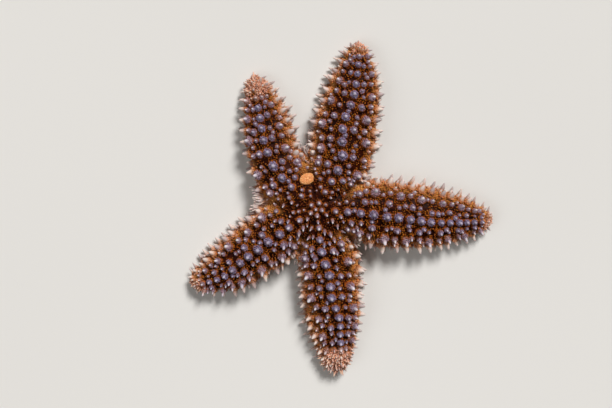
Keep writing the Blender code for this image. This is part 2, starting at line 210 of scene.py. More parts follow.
def skin_points(arm, side, s, turn):
    """The points of the solids' surface at stations s and those turns, on one side of the arm: the section
    laid from the centreline at s to the rim, with the height's share of the sway. In the disc the rim's
    station runs ahead, from the notch, so the section is a fan."""
    s, turn = np.broadcast_arrays(np.asarray(s, float), np.asarray(turn, float))
    fan = np.minimum(s / DISC_RADIUS, 1.0)
    outer = np.where(s >= DISC_RADIUS, s, arm.notch[side] + (DISC_RADIUS - arm.notch[side]) * fan)
    ridge, rim = arm.ridge(s), RIM_HEIGHT * arm.taper(outer)
    across, height = section_path(turn, GROOVE_DEPTH * arm.taper(outer), ridge, rim, fan)
    centre = arm.centre(s)
    edge = arm.centre(outer) + arm.left(outer) * (side * arm.half_width(outer, side))[..., None]
    place = centre + (edge - centre) * across[..., None]
    sway = np.where(turn < 1.0, (height - rim) / np.maximum(ridge - rim, 1e-9), 0.0)
    place = place + arm.left(s) * (arm.ridge_sway(s) * sway)[..., None]
    place[..., 2] = height + arm.lift(s)
    return place + MOUTH


def skin_normals(arm, side, s, turn):
    """Outward unit normals there: the cross product of a short step ahead and one round the section."""
    here = skin_points(arm, side, s, turn)
    ahead = skin_points(arm, side, s + 0.1 * MM, turn) - here
    round_it = skin_points(arm, side, s, turn + 0.02) - here
    return unit(np.cross(ahead, round_it) * side)


def unwrap(arm, side, s, turn):
    """Where that point of the skin lies on the flat pattern: each arm is a strip of its own, cut along the
    bottom of its groove, with the length along the strip and the way round the section across it."""
    half, third = arm.number % 2, arm.number // 2
    round_it = np.interp(turn, (0.0, 1.0, 2.0, 3.0, 4.0), (0.0, 0.55, 0.70, 0.83, 0.98))
    u = (0.02 + 0.46 * s / (38.0 * MM)) + 0.5 * half
    v = (third + 0.5 + 0.48 * side * round_it) / 3.0
    return np.stack(np.broadcast_arrays(u, v), axis=-1)


# ---- the rows of spines


def arm_stations(arm):
    start = DISC_RADIUS + PARTING
    plates = round((arm.length - start) / PLATE_LENGTH)
    shares = np.append(np.arange(plates) / plates, 1.0 - 0.3 / plates)
    return [start + (arm.length - start) * u * (1.0 + CROWDING - CROWDING * u) for u in shares]


def free_room(place, own, arms):
    """How far a point, from the mouth's axis, is from the flesh of the nearest other arm."""
    rooms = []
    for arm in arms:
        if arm is not own:
            away = np.hypot(arm.x - place[0], arm.y - place[1])
            at = arm.steps[away.argmin()]
            rooms.append(away.min() - max(arm.half_width(at, 1), arm.half_width(at, -1)))
    return min(rooms)


def slump(place, s):
    """How much a spine on the near half of the disc leans over: 0 on the far half and on the arms, 1 near
    the disc's near edge."""
    near_half = smooth((MOUTH[1] - place[1]) / (5.0 * MM))
    return 0.9 * near_half * (1.0 - smooth((s - 9.0 * MM) / (5.0 * MM)))


def new_spine(root, reach, radius, row, arm, side, s, turn, fan=False, crease=0.0):
    """A spine at a station and turn of an arm's side; fan and crease say that it stands in one."""
    return dict(root=root, tip=root + reach, radius=radius, row=row, arm=arm, side=side, s=s, turn=turn,
                fan=fan, crease=crease)


def row_spine(arms, arm, row, side, number, near, far):
    """The spine of the plate between two stations, or None where the row has none. It stands on the plate's
    normal, leans to the arm's tip, droops on the near side and is kept out of the next arm."""
    s = (near + far) / 2.0
    crowded = (row >= MARGIN and number != DISC_COLUMNS - 1) or (row == SHOULDER and number == 0)
    if s < DISC_RADIUS and crowded:
        return None
    stray = SPINE_SCATTER * (0.3 if row == RIDGE else 1.0)
    keys = arm.number, row * side, number
    station = s + stray * (far - near) * chance(*keys, 1)
    turn = abs(ROW_MIDDLES[row] + 0.2 * stray * chance(*keys, 2))
    root = skin_points(arm, side, station, turn)
    if np.hypot(*(root - MOUTH - SIEVE)[:2]) < SIEVE_ROOM:
        return None
    radius, height = ROW_RADII[row] * MM, ROW_HEIGHTS[row] * MM
    if row in (BACK, SHOULDER) and (number + row + (side < 0)) % 2 == 1:
        radius, height = radius * MINOR_SPINE, height * MINOR_SPINE
    place = (0.54 + 0.46 * smooth(s / DISC_RADIUS)) * (0.35 + 0.65 * arm.taper(s))
    vary = 1.0 + 0.10 * chance(*keys, 5)
    radius, height = radius * place * vary, height * (0.4 + 0.6 * place) * vary
    if row == FRINGE:
        lean = unit(arm.left(station) * side + 0.25 * arm.along(station) + [0.0, 0.0, 0.16])
    else:
        lean = unit(skin_normals(arm, side, station, turn) + 0.14 * arm.along(station))
    droop = max(-lean[1], slump(root, station)) * DROOPING[row]
    reach = lean * height * TALLER[row] * (1.0 + LONGER * droop) - [0.0, DROOP * droop * height, 0.0]
    room = max(0.45 * free_room(root - MOUTH, arm, arms) - 0.1 * MM, 0.0)
    level = math.hypot(reach[0], reach[1])
    if row >= SHOULDER and level > room:
        reach[:2] *= room / level
        reach[2] = max(reach[2], 0.75 * math.sqrt(max(height**2 - room**2, 0.0)))
    return new_spine(root, reach, radius * WIDER[row], row, arm, side, station, turn)


def row_spines(arms):
    """The spines of the solids' rows, one for each plate, and the one on the middle of the disc."""
    top = MOUTH + [0.0, 0.0, DISC_HEIGHT]
    radius, height = 0.5 * ROW_RADII[RIDGE] * MM, 0.6 * ROW_HEIGHTS[RIDGE] * MM
    found = [new_spine(top, np.array([0.0, 0.0, height]), radius, RIDGE, arms[0], 1, 0.0, 0.0)]
    disc = [DISC_RADIUS * j / DISC_COLUMNS for j in range(DISC_COLUMNS + 1)]
    for arm in arms:
        for stations in (disc, arm_stations(arm)):
            for number, ends in enumerate(zip(stations, stations[1:])):
                for row in (RIDGE, BACK, SHOULDER, MARGIN, FRINGE):
                    for side in (1,) if row == RIDGE else (1, -1):
                        found.append(row_spine(arms, arm, row, side, number, *ends))
    return [spine for spine in found if spine]


def column(spines, key):
    return np.array([spine[key] for spine in spines])


# ---- meshes


def new_object(name, data):
    made = bpy.data.objects.new(name, data)
    bpy.context.scene.collection.objects.link(made)
    return made


def add_piece(name, shape, attributes, finish, slot="skin_and_spines", replaced=()):
    """Makes a smooth mesh object from its shape, which is points, four-sided and three-sided faces, and an
    OFBake place for each face corner; and from one number a vertex for each named attribute."""
    points, quads, triangles, uv = shape
    corners = np.append(quads.ravel(), triangles.ravel())
    starts = np.append(4 * np.arange(len(quads)), 4 * len(quads) + 3 * np.arange(len(triangles)))
    mesh = bpy.data.meshes.new(name)
    mesh.vertices.add(len(points))
    mesh.vertices.foreach_set("co", np.asarray(points, np.float32).ravel())
    mesh.loops.add(len(corners))
    mesh.loops.foreach_set("vertex_index", corners.astype(np.int32))
    mesh.polygons.add(len(starts))
    mesh.polygons.foreach_set("loop_start", starts.astype(np.int32))
    mesh.update(calc_edges=True)
    mesh.validate()
    mesh.polygons.foreach_set("use_smooth", np.ones(len(mesh.polygons), bool))
    mesh.uv_layers.new(name="OFBake").uv.foreach_set("vector", np.asarray(uv, np.float32).ravel())
    for key, values in attributes.items():
        made = mesh.attributes.new(key, "FLOAT", "POINT")
        made.data.foreach_set("value", np.asarray(values, np.float32))
    mesh.materials.append(finish)
    piece = new_object(name, mesh)
    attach(piece, "root")
    if replaced:
        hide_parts(*replaced)


def circle(count):
    """(x, y) of so many even places round the unit circle."""
    turns = np.arange(count) * math.tau / count
    return np.stack([np.cos(turns), np.sin(turns)], axis=-1)


def closed(first, rings, last):
    """The rows of all rings with a pole before and a pole after them."""
    return np.concatenate([[first], rings.reshape(-1, len(first)), [last]])


def ring_faces(rings, sides):
    """(quads, triangles) of a closed shape of so many rings between two poles. The first pole's triangles
    come before the last pole's."""
    i = np.arange(sides)
    j = (i + 1) % sides
    level = 1 + sides * np.arange(rings - 1)[:, None]
    last = sides * rings + 1
    quads = np.stack([level + i, level + j, level + sides + j, level + sides + i], axis=-1)
    first_fan = np.stack([np.zeros_like(i), 1 + j, 1 + i], axis=-1)
    last_fan = np.stack([np.full_like(i, last), last - sides + i, last - sides + j], axis=-1)
    return quads.reshape(-1, 4), np.concatenate([first_fan, last_fan])


def lathe(profile, sides):
    """A closed shape turned about its axis from (radius, height) pairs whose first and last radius are 0.
    Returns its points, quads, triangles and the flat polar pattern of their corners, tip in the middle. The
    hidden underside has a small disc of its own beside it."""
    profile = np.asarray(profile, float)
    rings = profile[1:-1]
    height = np.broadcast_to(rings[:, None, 1:], (len(rings), sides, 1))
    points = np.concatenate([rings[:, None, :1] * circle(sides), height], axis=-1)
    points = closed([0.0, 0.0, profile[0, 1]], points, [0.0, 0.0, profile[-1, 1]])
    quads, triangles = ring_faces(len(rings), sides)
    flat = closed([0.0, 0.0], np.linspace(0.95, 0.12, len(rings))[:, None, None] * circle(sides), [0.0, 0.0])
    flat = flat[np.append(quads.ravel(), triangles.ravel())]
    under = slice(quads.size, quads.size + 3 * sides)
    flat[under] = 0.05 * flat[under] + [1.05, 0.0]
    return points, quads, triangles, flat


def square_to(axes):
    """Two unit vectors for each unit axis, square to it and to each other."""
    aside = np.where(np.abs(axes[:, 2:]) < 0.9, [[0.0, 0.0, 1.0]], [[1.0, 0.0, 0.0]])
    first = unit(np.cross(aside, axes))
    return first, np.cross(axes, first)


def plant(name, template, copies, spins, patch_size, attributes, finish,
          flatness=1.0, stray=0.0, lowest=LOWEST, **kind):
    """Adds a piece of copies of a turned shape, from arrays of their roots, axes, radii, heights and patches.
    A copy's point is root + x (width) + y (width times flatness) + z (height), on the copy's own axes, with
    its z along the given axis, strayed by a share of its radius, and no lower than the lowest. An attribute
    is an array of copies by points of one, or anything that fills one."""
    points, quads, triangles, flat = template
    roots, axes, radii, heights, patches = copies
    axes = unit(axes)
    first, second = square_to(axes)
    turned = first * np.cos(spins)[:, None] + second * np.sin(spins)[:, None]
    other = np.cross(axes, turned)
    placed = roots[:, None] + turned[:, None] * (points[:, :1] * radii[:, None, None])
    placed = placed + other[:, None] * (points[:, 1:2] * flatness * radii[:, None, None])
    placed = placed + axes[:, None] * (points[:, 2:] * heights[:, None, None]) + stray * radii[:, None, None]
    placed[..., 2] = np.maximum(placed[..., 2], lowest)
    step = np.arange(len(roots))[:, None, None] * len(points)
    uv = patches[:, None] + flat * (patch_size / 2.0)
    uv = np.concatenate([part.reshape(-1, 2) for part in (uv[:, : quads.size], uv[:, quads.size :])])
    shape = placed.reshape(-1, 3), (quads + step).reshape(-1, 4), (triangles + step).reshape(-1, 3), uv
    full = {key: np.broadcast_to(values, placed.shape[:2]).ravel() for key, values in attributes.items()}
    add_piece(name, shape, full, finish, **kind)


def nearest(centres, places):
    """(distance, index) of the nearest centre to each place."""
    tree = kdtree.KDTree(len(centres))
    for i, centre in enumerate(centres):
        tree.insert(centre, i)
    tree.balance()
    index, away = zip(*(tree.find(place)[1:] for place in places))
    return np.array(away), np.array(index)


def scatter(places, spacing, taken, taken_radii):
    """Picks places in a random order so that no two are nearer than the spacing at each, and none is within
    the radius of one already taken. Returns their indices."""
    alive = np.ones(len(places), bool)
    for centre, radius in zip(taken, taken_radii):
        alive &= ((places - centre) ** 2).sum(axis=1) > radius**2
    chosen = []
    for i in random.permutation(len(places)):
        if alive[i]:
            chosen.append(i)
            alive &= ((places - places[i]) ** 2).sum(axis=1) > spacing[i] ** 2
    return np.array(chosen, int)


# ---- finishes


def linear(hex_colour):
    """An sRGB hex value as linear red, green, blue and 1."""
    values = np.array([int(hex_colour[i : i + 2], 16) for i in (1, 3, 5)]) / 255.0
    values = np.where(values <= 0.04045, values / 12.92, ((values + 0.055) / 1.055) ** 2.4)
    return (*values, 1.0)


def add(tree, kind, inputs=None, **settings):
    """Adds a shader node with its settings, and values or links for its sockets."""
    made = tree.nodes.new("ShaderNode" + kind)
    for key, value in settings.items():
        setattr(made, key, value)
    for key, value in (inputs or {}).items():
        if isinstance(value, bpy.types.NodeSocket):
            tree.links.new(value, made.inputs[key])
        else:
            made.inputs[key].default_value = value
    return made


def coated(name, roughness, ior, grains, coats, bump=0.0, detail=3.0, **sockets):
    """A material with its constant numbers on the shader's own sockets and its colour laid on in coats. A
    grain is a noise with lumps of that size; the one called fine also raises the surface by the bump. A coat
    is a name, a grain or a number of the mesh that it lies by, a range, and two colours, each a hex value or
    an earlier coat: the first shows at 0 and the second at 1. With a range the change runs smoothly from its
    first number to its second, and all the way or as far as its third. The last coat is what shows."""
    finish = bpy.data.materials.new(name)
    finish.use_nodes = True
    tree = finish.node_tree
    shader = tree.nodes["Principled BSDF"]
    for key, value in dict(sockets, Roughness=roughness, IOR=ior).items():
        shader.inputs[key.replace("_", " ")].default_value = value
    place = add(tree, "TexCoord").outputs["Object"]
    known = {}
    for key, size in grains.items():
        noise = add(tree, "TexNoise", {"Vector": place, "Scale": 0.5 / size, "Detail": detail})
        known[key] = noise.outputs["Fac"]
    for key, where, within, *colours in coats:
        if where not in known:
            known[where] = add(tree, "Attribute", attribute_name=where).outputs["Fac"]
        amount = known[where]
        if within:
            low, high, reach = (*within, 1.0)[:3]
            inputs = {"Value": amount, "From Min": low, "From Max": high, "To Min": 0.0, "To Max": reach}
            amount = add(tree, "MapRange", inputs, interpolation_type="SMOOTHSTEP").outputs["Result"]
        first, second = (known[colour] if colour in known else linear(colour) for colour in colours)
        inputs = {"Factor": amount, 6: first, 7: second}
        known[key] = add(tree, "Mix", inputs, data_type="RGBA").outputs[2]
    tree.links.new(known[key], shader.inputs["Base Color"])
    if bump:
        raised = add(tree, "Bump", {"Height": known["fine"], "Distance": bump, "Strength": 1.0})
        tree.links.new(raised.outputs["Normal"], shader.inputs["Normal"])
    return finish


def skin_finish():
    """Damp skin over a net of limy plates: rusty tan where it climbs a spine, near-black maroon in the
    hollows between the spines, which is partly the skin's own colour and partly painted shade, and cream
    underneath. A thin wet film gives soft highlights."""
    coats = (
        ("dark", "lumps", (0.35, 0.65), "#180300", "#320C01"),
        ("tan", "fine", (0.4, 0.62), "#74320A", "#A25818"),
        # Between the spines the tan turns to the near-black dark: partly the skin's own maroon, partly
        # painted shade.
        ("back", "hollow", (0.25, 0.80), "tan", "dark"),
        ("back", "warm", None, "back", "#C47E3A"),
        ("back", "pink", None, "back", "#B87850"),
        ("cream", "lumps", (0.35, 0.65), "#D9BC92", "#C49A72"),
        ("whole", "under", None, "back", "cream"),
    )
    grains = {"lumps": 0.7 * MM, "fine": 0.16 * MM}
    return coated("damp_limy_skin", 0.55, 1.34, grains, coats, 0.06 * MM, Specular_IOR_Level=0.12)


def spine_finish():
    """Limy spine in thin skin: a rust-coloured foot, a lavender cushion and a chalky tip. Towards the margins
    and tips of the arms the cushion turns salmon and the tip cream."""
    coats = (
        ("foot", "blush", None, "#58280E", "#AA6226"),
        ("cushion", "blush", None, "#827893", "#BA845E"),
        ("cushion", "pink", None, "cushion", "#D8A88C"),
        ("tip", "blush", (0.05, 0.25), "#A69DAF", "#CFC6CD"),
        ("tip", "blush", (0.40, 0.80), "tip", "#CFBDB4"),
        ("low", "rise", (0.02, 0.30), "foot", "cushion"),
        ("whole", "rise", (0.50, 0.92), "low", "tip"),
        ("whole", "fine", (0.50, 0.70, 0.25), "whole", "#CFC0B8"),
        ("whole", "tone", (0.0, 1.0, 0.45), "whole", "#6E5A68"),
    )
    return coated("limy_spine", 0.55, 1.4, {"fine": 0.14 * MM}, coats, 0.05 * MM,
                  Subsurface_Weight=0.12, Subsurface_Scale=0.0003)


def pincer_finish():
    """The heads of the tiny pincers that wreathe a spine: moist, rust-coloured below and lavender above."""
    coats = (
        ("low", "blush", None, "#86420F", "#BC6620"),
        ("high", "blush", None, "#867C9B", "#C48A64"),
        ("whole", "rise", (0.20, 0.66), "low", "high"),
        ("whole", "pink", None, "whole", "#D4967A"),
        ("whole", "tone", (0.0, 1.0, 0.55), "whole", "#66361A"),
    )
    return coated("pincer_wreath", 0.5, 1.36, {}, coats, Specular_IOR_Level=0.35,
                  Subsurface_Weight=0.12, Subsurface_Scale=0.0002)


def gill_finish():
    """Skin gills: thin-walled fingers filled with body fluid, amber brown and paler at the tip, near-black at
    the
    root: partly their own colour and partly painted shade down among the spines.
    """
    coats = (
        # The near-black root colours are partly painted shade at the gills' feet.
        ("root", "tone", None, "#160300", "#300C01"),
        ("tip", "tone", None, "#622504", "#C4701E"),
        ("whole", "rise", (0.2, 1.0), "root", "tip"),
        ("whole", "blush", None, "whole", "#DC9C58"),
    )
    return coated("skin_gill", 0.35, 1.37, {}, coats, Specular_IOR_Level=0.3,
                  Subsurface_Weight=0.3, Subsurface_Scale=0.0003)


def foot_finish():
    """Tube feet: soft, watery stalks of pale straw with a warm sucker."""
    coats = (
        ("stalk", "tone", None, "#E2CFA4", "#CFAF7E"),
        ("whole", "rise", (0.78, 0.92), "stalk", "#E2A878"),
    )
    return coated("tube_foot", 0.3, 1.37, {}, coats, Subsurface_Weight=0.4, Subsurface_Scale=0.0005)


def sieve_finish():
    """The sieve plate: porous lime under thin orange skin, with painted shade darkening the winding furrows.
    """
    coats = (
        ("orange", "fine", (0.4, 0.65), "#DC9450", "#EAB27A"),
        ("whole", "furrow", None, "orange", "#B5642C"),
    )
    return coated("sieve_plate", 0.6, 1.5, {"fine": 0.10 * MM}, coats, 0.03 * MM,
                  Subsurface_Weight=0.1, Subsurface_Scale=0.0003)


def eyespot_finish():
    """The optic cushion: a pad of red pigment cups under clear skin, so it is glossy."""
    coats = (("whole", "cups", (0.4, 0.6), "#A81A12", "#6E0C0A"),)
    return coated("eyespot_pigment", 0.2, 1.38, {"cups": 0.08 * MM}, coats)


def floor_finish():
    """Matt painted board, pale and even."""
    coats = (("whole", "soft", None, "#D6D3CE", "#DBD8D3"),)
    return coated("matt_board", 0.9, 1.5, {"soft": 60.0 * MM}, coats, detail=1.0)


# ---- the skin


def vertex_normals(points, quads, triangles):
    """Unit normals at the points: the sum of the cross products of the faces round each."""
    normals = np.zeros_like(points)
    faces = np.concatenate([quads[:, [0, 1, 2]], quads[:, [0, 2, 3]], triangles])
    a, b, c = (points[faces[:, k]] for k in range(3))
    cross = np.cross(b - a, c - a)
    for k in range(3):
        np.add.at(normals, faces[:, k], cross)
    return unit(normals)


def skin_grid(arms):
    """One closed skin: for each arm a grid of stations by turns, down the left side and up the right one,
    with shared points joined. Returns its shape, its outward normals and its points' facts in columns: the
    arm's number, the side, station and turn, the share of the arm's length, how far into the fan at the tip
    and how far out in it."""
    under = [np.linspace(start, start + 1.0, 9)[1:] for start in (1.0, 2.0, 3.0)]
    turns = np.concatenate([np.linspace(0.0, 1.0, 27), *under])
    turn = np.concatenate([turns, turns[-2:0:-1]])
    around = len(turn)
    side = np.where(np.arange(around) < len(turns), 1.0, -1.0)
    parts, offset = [], 0
    for arm in arms:
        disc = np.linspace(0.0, DISC_RADIUS, round(DISC_RADIUS / GRID) + 1)
        u = np.linspace(0.0, 1.0, round((arm.length - DISC_RADIUS) / GRID) + 1)[1:]
        u = u + 0.06 * np.sin(math.pi * u)
        s = np.concatenate([disc, DISC_RADIUS + (arm.length - DISC_RADIUS) * u / u[-1]])
        grid_s, grid_turn = np.meshgrid(s, turn, indexing="ij")
        left, right = (skin_points(arm, way, grid_s, grid_turn) for way in (1, -1))
        i, j = np.meshgrid(np.arange(len(s) - 1), np.arange(around), indexing="ij")
        ahead = np.stack([i, i + 1, i + 1, i], axis=-1)
        over = np.stack([j, j, j + 1, j + 1], axis=-1) % around
        # The pattern's seam runs along the groove, so a corner there takes the side of its own face.
        own_side = np.where(j < len(turns) - 1, 1.0, -1.0)[..., None]
        own = [np.full_like(grid_s, arm.number), np.broadcast_to(side, grid_s.shape), grid_s, grid_turn,
               arm.share(grid_s), arm.fan_share(grid_s), arm.nose(grid_s)]
        parts.append((
            np.where((side > 0)[None, :, None], left, right).reshape(-1, 3),
            np.stack(own, axis=-1).reshape(-1, len(own)),
            (ahead * around + over).reshape(-1, 4) + offset,
            unwrap(arm, own_side, s[ahead], turn[over]).reshape(-1, 4, 2),
        ))
        offset += grid_s.size
    points, facts, quads, uv = (np.concatenate(part) for part in zip(*parts))
    _, first, index = np.unique(np.round(points / 2e-6), axis=0, return_index=True, return_inverse=True)
    points, facts, quads = points[first], facts[first], index.reshape(-1)[quads]
    # A cell that a pole has pinched is a triangle, and one that it has closed up is nothing.
    pinched = quads == np.roll(quads, -1, axis=1)
    whole, single = pinched.sum(axis=1) == 0, pinched.sum(axis=1) == 1
    keep = ~pinched[single]
    quads, triangles = quads[whole], quads[single][keep].reshape(-1, 3)
    uv = np.concatenate([uv[whole].reshape(-1, 2), uv[single][keep]])
    return (points, quads, triangles, uv), vertex_normals(points, quads, triangles), facts


def crease_shift(s):
    """How much nearer the ridge the warm colour of the margins climbs, most of all in the creases between
    the arms."""
    return 0.20 * smooth(s / (4.0 * MM)) * (1.0 - smooth((s - 5.0 * MM) / (6.0 * MM)))


def build_skin(arms, grid, spines, finish):
    """The one skin of disc and arms: the grid moved in by the coat's depth, and further on the sole, then
    raised in a low mound round each spine and pitted between them. A mound's height is a smooth step of the
    distance to its spine's root. Returns the moved points."""
    (points, *faces), normals, facts = grid
    _, _, s, turn, share, fan, _ = facts.T
    away, which = nearest(column(spines, "root"), points)
    gap = away / column(spines, "radius")[which]
    mound = 1.0 - smooth((gap - 0.7) / 0.9)
    slim = 1.0 - 0.45 * smooth((share - 0.8) / 0.2)
    pits = 0.10 * MM * np.sin(points[:, 0] / (0.33 * MM)) * np.sin(points[:, 1] / (0.29 * MM))
    pits = pits * np.sin(points[:, 2] / (0.37 * MM) + points[:, 0] / (0.61 * MM))
    below = smooth((turn - 1.55) / 0.45)
    moved = points - normals * (COAT * slim - mound * 0.24 * MM - pits * (1.0 - below))[:, None]
    held = np.maximum(moved[:, 2], SOLE_CLEARANCE * slim * smooth((turn - 1.0) / 0.8))
    moved[:, 2] = np.where(turn > 1.0, held, moved[:, 2])
    away = np.hypot(*(moved - MOUTH)[:, :2].T)
    mouth = np.exp(-((away / MOUTH_RADIUS) ** 2)) * (turn > 3.0)
    moved[:, 2] += MOUTH_DEPTH * mouth
    warm = 0.65 * smooth((turn + crease_shift(s) - 0.45) / 0.35) * (1.0 - mouth)
    attributes = {
        # Away from the spines' feet the skin turns near-black maroon: partly its own colour, partly painted
        # shade in the hollows between them.
        "hollow": smooth((gap - 0.9) / 0.9),
        "under": below * (1.0 - 0.85 * mouth),
        "warm": np.clip(warm, 0.0, 0.9),
        "pink": fan,
    }
    names = ["disc"] + [arm.name for arm in arms]
    add_piece("skin", (moved, *faces), attributes, finish, "skin_and_spines", names)
    return moved


# ---- spines and what wreathes them

# (width share, height share) from the foot, under the skin, to the tip
KNOB_PROFILE = (
    (0.0, -0.30), (0.84, -0.28), (0.90, 0.14), (0.66, 0.45), (0.50, 0.55), (0.42, 0.78), (0.24, 0.95),
    (0.0, 1.0),
)
THORN_PROFILE = (
    (0.0, -0.22), (0.90, -0.20), (0.98, 0.08), (0.86, 0.34), (0.66, 0.58), (0.44, 0.80), (0.22, 0.94),
    (0.0, 1.0),
)
FAN_PROFILE = ((0.0, -0.25), (1.0, -0.20), (0.92, 0.15), (0.66, 0.50), (0.38, 0.82), (0.16, 0.96), (0.0, 1.0))
NEEDLE_PROFILE = ((0.0, -0.1), (1.0, -0.08), (0.95, 0.35), (0.75, 0.70), (0.45, 0.94), (0.0, 1.0))
BEAD_PROFILE = ((0.0, -0.9), (0.80, -0.40), (0.90, 0.40), (0.0, 1.0))
PINCER_FLATNESS = 0.66  # a pincer head is this much thinner than it is wide
GILL_PROFILE = ((0.0, -0.25), (1.0, -0.22), (0.82, 0.72), (0.0, 1.0))
FOOT_PROFILE = (
    (0.0, 0.0), (0.72, 0.01), (0.60, 0.25), (0.52, 0.50), (0.50, 0.74), (0.62, 0.86), (1.05, 0.92),
    (1.0, 0.98), (0.45, 0.965), (0.0, 0.95),
)
ROUGHNESS = 0.035  # how far a spine's surface strays, as a share of its radius
COMBED = 0.85  # how far the spines in the creases turn from the skin's normal to straight outwards
# The creases between two arms whose combs of long pale spines are shorter than the others'
CREASES = {("arm_right", 1): 0.6, ("arm_top", -1): 0.6, ("arm_right", -1): 0.15, ("arm_bottom", 1): 0.15}


def measures(spines):
    """Arrays of the spines' roots, reaches, radii, lengths and places on the flat pattern, and their blush: 0
    for the lavender of the ridge, a little for the rest of the back, and 1 for the salmon and cream of the
    margins and of the fans at the arms' tips."""
    roots, s, turn = (column(spines, key) for key in ("root", "s", "turn"))
    reach = column(spines, "tip") - roots
    patches = [unwrap(spine["arm"], spine["side"], spine["s"], spine["turn"]) for spine in spines]
    back = np.maximum(0.28 * smooth(turn / 0.45), 0.30 * (1.0 - smooth(s / (10.0 * MM))))
    fan = [spine["arm"].fan_share(spine["s"]) for spine in spines]
    blush = np.maximum.reduce([back, smooth((turn - 0.48) / 0.26), fan])
    lengths = np.linalg.norm(reach, axis=1)
    return (roots, reach, column(spines, "radius"), lengths, np.array(patches)), blush


def build_spines(name, spines, profile, sides, chalk, patch_size, finish):
    """All the spines of a kind as one mesh, each a turned shape from its root to its tip. Their colour climbs
    as 1 - (1 - share) ** chalk, so that more chalk means a longer pale point."""
    template, count = lathe(profile, sides), len(spines)
    share = template[0][:, 2]
    (roots, reach, radii, heights, patches), blush = measures(spines)
    sunk = 0.7 * COAT
    spins = random.uniform(0.0, FULL_TURN, count)
    stray = random.normal(0.0, ROUGHNESS, (count, len(share), 3))
    blush = np.clip(blush + random.uniform(-0.12, 0.12, count), 0.0, 1.0)
    fan, crease = (column(spines, key)[:, None] for key in ("fan", "crease"))
    attributes = {
        "rise": np.where(fan, 0.34 + 0.36 * share, 1.0 - (1.0 - np.clip(share, 0.0, 1.0)) ** chalk),
        "blush": blush[:, None],
        "tone": random.uniform(0.0, 1.0, (count, 1)) ** 2,
        "pink": np.maximum(fan, 0.8 * crease),
    }
    copies = roots - unit(reach) * sunk, reach, radii, heights + sunk, patches
    plant(name, template, copies, spins, patch_size, attributes, finish, stray=stray)


def build_pincers(name, spines, count, swell, top, finish):
    """The cushion of tiny pincers round each spine: beads on a golden spiral over a half-sunk spheroid, which
    is swell times as wide as the spine's foot and reaches up to the share top of its height. Each bead points
    straight out of it. On the flat pattern they lie side by side in the same spiral, as a sunflower's seeds
    do: the distance out is the ring's radius times the root of a bead's share of the count."""
    template = lathe(BEAD_PROFILE, 5)
    (roots, reach, radii, heights, base), blush = measures(spines)
    axes = unit(reach)
    first, second = square_to(axes)
    place = (np.arange(count) + 0.5) / count
    shape = (len(spines), count)
    level = 0.86 - 1.10 * place + random.uniform(-0.07, 0.07, shape)
    turns = np.arange(count) * GOLDEN_ANGLE + random.uniform(0.0, FULL_TURN, (len(spines), 1))
    turns = turns + random.uniform(-0.12, 0.12, shape)
    level_out = np.sqrt(1.0 - level**2)
    outward = first[:, None] * np.cos(turns)[..., None] + second[:, None] * np.sin(turns)[..., None]
    full = smooth(column(spines, "s") / DISC_RADIUS)
    wide, tall = ((swell - 0.22 + 0.22 * full) * radii)[:, None], ((top - 0.14) * heights)[:, None]
    centre = roots + axes * (0.14 * heights)[:, None]
    bulge = wide * random.uniform(0.92, 1.08, shape) * (1.0 + 0.07 * np.sin(2.0 * turns))
    places = centre[:, None] + outward * (bulge * level_out)[..., None]
    places = places + axes[:, None] * (tall * level)[..., None]
    lean = unit(outward * (level_out / wide)[..., None] + axes[:, None] * (level / tall)[..., None])
    sizes = (1.50 * wide / math.sqrt(count) * random.uniform(0.75, 1.25, shape)).ravel()
    ring = 0.002 + PATTERN_SCALE * wide
    patches = np.stack([np.cos(turns), np.sin(turns)], axis=-1) * (ring * np.sqrt(place))[..., None]
    patches = base[:, None] + patches
    patch_size = np.repeat(1.9 * ring[:, 0] / math.sqrt(count), count)[:, None, None]
    spins = random.uniform(0.0, FULL_TURN, turns.size)
    pink = np.maximum(column(spines, "fan"), 0.6 * column(spines, "crease"))
    attributes = {
        "rise": np.clip(0.30 + 0.80 * level, 0.0, 1.0).reshape(-1, 1),
        "blush": np.repeat(blush, count)[:, None],
        "tone": random.uniform(0.0, 1.0, (turns.size, 1)) ** 1.5,
        "pink": np.repeat(pink, count)[:, None],
    }
    copies = places.reshape(-1, 3), lean.reshape(-1, 3), sizes, sizes * 1.35, patches.reshape(-1, 2)
    plant(name, template, copies, spins, patch_size, attributes, finish, PINCER_FLATNESS)


